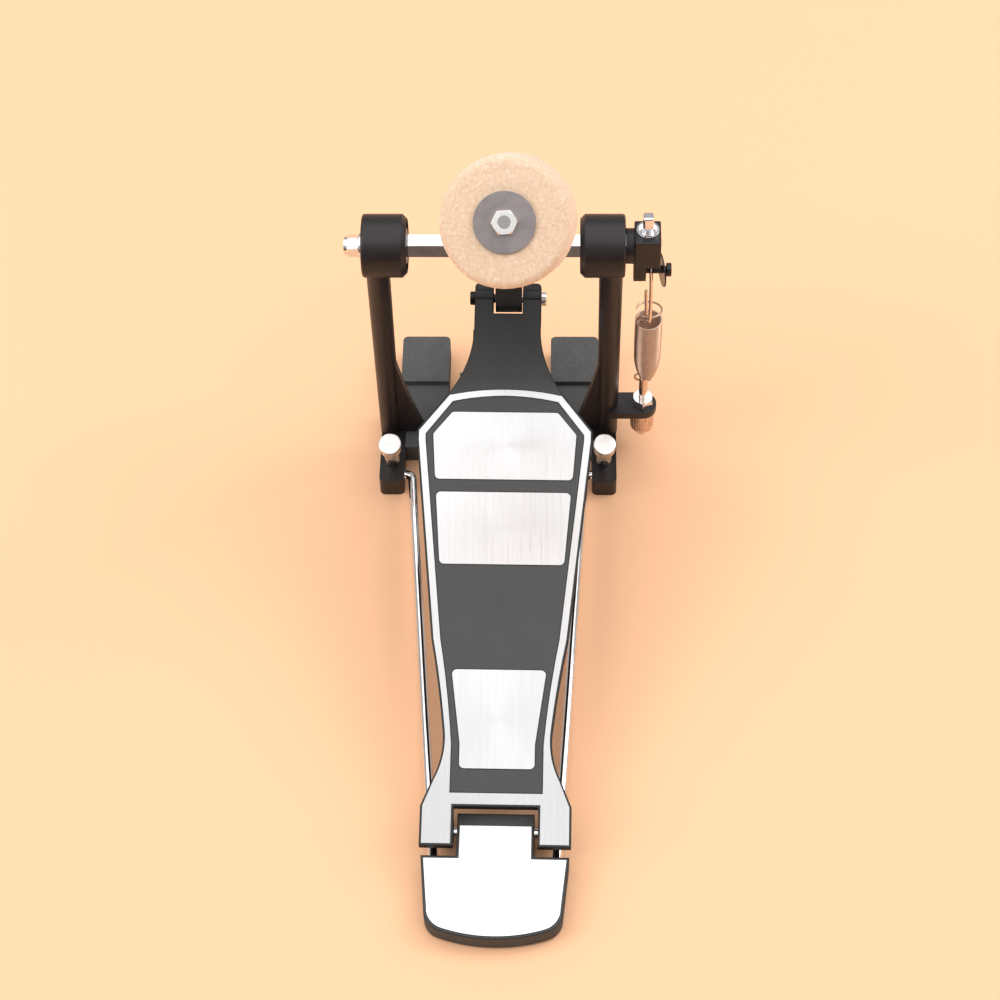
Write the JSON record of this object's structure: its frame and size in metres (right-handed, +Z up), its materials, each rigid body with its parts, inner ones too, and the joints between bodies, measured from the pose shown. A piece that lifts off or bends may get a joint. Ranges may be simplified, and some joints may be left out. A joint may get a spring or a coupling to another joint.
{
  "type": "bass drum pedal",
  "caption": "Foot pedal for a bass drum: hinged footboard on a heel plate pulls a strap that swings a felt beater on a sprung hex shaft between two posts.",
  "frame": {"origin": "on the floor, straight under the middle of the hex shaft", "axes": "+X along the shaft towards the spring side, +Y from the player towards the drum, +Z up"},
  "size_m": [0.169, 0.3813, 0.3143],
  "materials": {
    "black_cast": "satin black powder coat, faintly speckled",
    "board_cast": "fine matte charcoal texture",
    "bright_inlay": "fine lengthwise brushing, satin silver",
    "chrome": "polished chrome plate",
    "spring_steel": "dull zinc plate",
    "black_steel": "blackened steel",
    "bearing_steel": "ground steel",
    "felt": "dense pressed wool felt, cream",
    "strap_web": "black woven strap",
    "grey_rubber": "matte dark grey rubber"
  },
  "bodies": {
    "frame": {"base_casting": "black_cast", "hoop_pads": "grey_rubber", "left_upright": "black_cast", "right_upright": "black_cast", "base_screws": "black_steel", "left_bearing_outer_race": "bearing_steel", "right_bearing_outer_race": "bearing_steel", "left_wire_rod": "chrome", "right_wire_rod": "chrome", "heel_plate": "board_cast", "heel_tread": "bright_inlay", "heel_rubber": "grey_rubber", "heel_pin": "chrome", "clamp_jaw_pin": "chrome", "spring_lock_nut": "chrome"},
    "footboard": {"footboard": "board_cast", "border_inlay": "bright_inlay", "upper_panel": "bright_inlay", "middle_panel": "bright_inlay", "lower_panel": "bright_inlay", "toe_pin": "chrome"},
    "shaft": {"hex_shaft": "chrome", "left_hex_bush": "black_steel", "right_hex_bush": "black_steel", "left_bearing_inner_race": "bearing_steel", "right_bearing_inner_race": "bearing_steel", "shaft_end_nut": "chrome", "shaft_end_washer": "chrome", "shaft_collar": "black_cast", "rocker_block": "black_cast", "rocker_screw_ring": "chrome", "rocker_key_screw": "chrome", "rocker_pin": "black_steel", "rocker_pin_disc": "black_steel", "beater_hub": "black_cast", "rod_key_screw": "chrome", "strap_wrap": "strap_web", "strap_screw": "black_steel"},
    "bearing_balls": {"left_bearing_balls": "bearing_steel", "right_bearing_balls": "bearing_steel"},
    "beater": {"beater_rod": "chrome", "felt_beater": "felt", "inner_washer": "spring_steel", "outer_washer": "spring_steel", "beater_nut": "chrome"},
    "strap_run": {"strap_run": "strap_web"},
    "spring_hook": {"spring_hook": "chrome"},
    "eye_bolt": {"eye_bolt": "chrome"},
    "spring": {"spring": "spring_steel"},
    "spring_ring": {"spring_ring": "spring_steel"},
    "tension_knob": {"tension_knob": "chrome"},
    "left_spur": {"left_spur_screw": "chrome"},
    "right_spur": {"right_spur_screw": "chrome"},
    "clamp_jaw": {"clamp_jaw": "board_cast", "clamp_jaw_pad": "grey_rubber"},
    "clamp_wing_screw": {"clamp_wing_screw": "chrome"}
  },
  "joints": [
    {"name": "shaft_swing", "type": "hinge", "parent": "frame", "child": "shaft", "pos_m": [0, 0, 0.1618], "axis": [-1, 0, 0], "range_deg": [0, 46], "stiffness_Nm_per_rad": 0.35, "springref_deg": -20.05},
    {"name": "footboard_press", "type": "hinge", "parent": "frame", "child": "footboard", "pos_m": [0.0029, -0.25798, 0.011], "axis": [-0.9999, 0.0122, 0], "range_deg": [0, 3.79]},
    {"name": "bearing_roll", "type": "hinge", "parent": "frame", "child": "bearing_balls", "pos_m": [0, 0, 0.1618], "axis": [-1, 0, 0], "range_deg": [0, 20.1]},
    {"name": "strap_bend", "type": "hinge", "parent": "shaft", "child": "strap_run", "pos_m": [0.0066, 0.0213, 0.17173], "axis": [1, 0, 0], "range_deg": [0, 48.54]},
    {"name": "hook_swing", "type": "hinge", "parent": "shaft", "child": "spring_hook", "pos_m": [0.0812, 0, 0.1438], "axis": [1, 0, 0], "range_deg": [0, 53.78]},
    {"name": "spring_tilt", "type": "hinge", "parent": "eye_bolt", "child": "spring", "pos_m": [0.0799, 0, 0.0544], "axis": [1, 0, 0], "range_deg": [0, 7.78]},
    {"name": "spring_stretch", "type": "slide", "parent": "spring", "child": "spring_ring", "axis": [0, 0, 1], "range_m": [0, 0.00639]},
    {"name": "beater_height", "type": "slide", "parent": "shaft", "child": "beater", "axis": [0, -0.6884, 0.7254], "range_m": [0, 0.014]},
    {"name": "eye_bolt_travel", "type": "slide", "parent": "frame", "child": "eye_bolt", "axis": [0, 0, 1], "range_m": [0, 0.004]},
    {"name": "tension_turn", "type": "hinge", "parent": "frame", "child": "tension_knob", "pos_m": [0.0799, 0, 0.022], "axis": [0, 0, 1], "range_deg": [0, 1800.1]},
    {"name": "left_spur_travel", "type": "slide", "parent": "frame", "child": "left_spur", "axis": [0, 0.309, -0.9511], "range_m": [-0.01, 0.006]},
    {"name": "right_spur_travel", "type": "slide", "parent": "frame", "child": "right_spur", "axis": [0, 0.309, -0.9511], "range_m": [-0.01, 0.006]},
    {"name": "jaw_rock", "type": "hinge", "parent": "frame", "child": "clamp_jaw", "pos_m": [0, 0.012, 0.03], "axis": [-1, 0, 0], "range_deg": [-5, 15]},
    {"name": "wing_screw_travel", "type": "slide", "parent": "clamp_jaw", "child": "clamp_wing_screw", "axis": [0, 0, -1], "range_m": [-0.0017, 0.005]}
  ],
  "couplings": [
    {"joint": "footboard_press", "follows": "shaft_swing", "ratio": 0.082174},
    {"joint": "bearing_roll", "follows": "shaft_swing", "ratio": 0.4367},
    {"joint": "strap_bend", "follows": "shaft_swing", "ratio": 1.055},
    {"joint": "hook_swing", "follows": "shaft_swing", "ratio": 1.1689},
    {"joint": "spring_tilt", "follows": "shaft_swing", "ratio": 0.16891},
    {"joint": "spring_stretch", "follows": "shaft_swing", "m_per_rad": 0.0079405},
    {"joint": "tension_turn", "follows": "eye_bolt_travel", "rad_per_m": 7854},
    {"joint": "wing_screw_travel", "follows": "jaw_rock", "m_per_rad": 0.0187}
  ]
}
